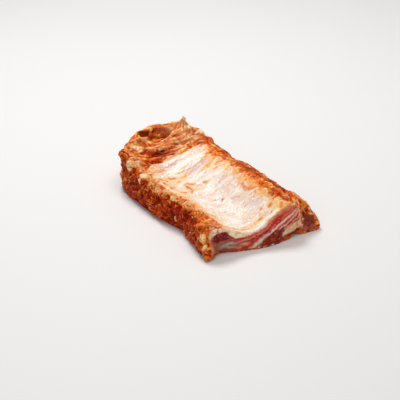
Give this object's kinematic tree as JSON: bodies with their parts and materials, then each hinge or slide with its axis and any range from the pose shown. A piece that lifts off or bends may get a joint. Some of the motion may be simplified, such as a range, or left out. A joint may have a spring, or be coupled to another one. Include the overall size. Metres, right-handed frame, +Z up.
{
  "type": "rack of marinated pork ribs",
  "caption": "Raw marinated rack of pork ribs lying bone side up, with a dished pale bone side, a thick craggy side, a folded far end and a cut face.",
  "frame": {"origin": "middle of the footprint, on the flat underside", "axes": "+X along the rack towards the cut face, +Y towards the thin side with the ridge, +Z up"},
  "size_m": [0.2431, 0.1412, 0.0571],
  "materials": {
    "meat": "raw pork coated in a wet orange-red paprika marinade, with bare red meat and white seams at the cut face",
    "bone_side": "moist cream and pink membrane and fat over the ribs, with orange marinade left in the valleys"
  },
  "bodies": {
    "root": {"meat": "meat", "rib_plate": "bone_side"}
  },
  "joints": []
}
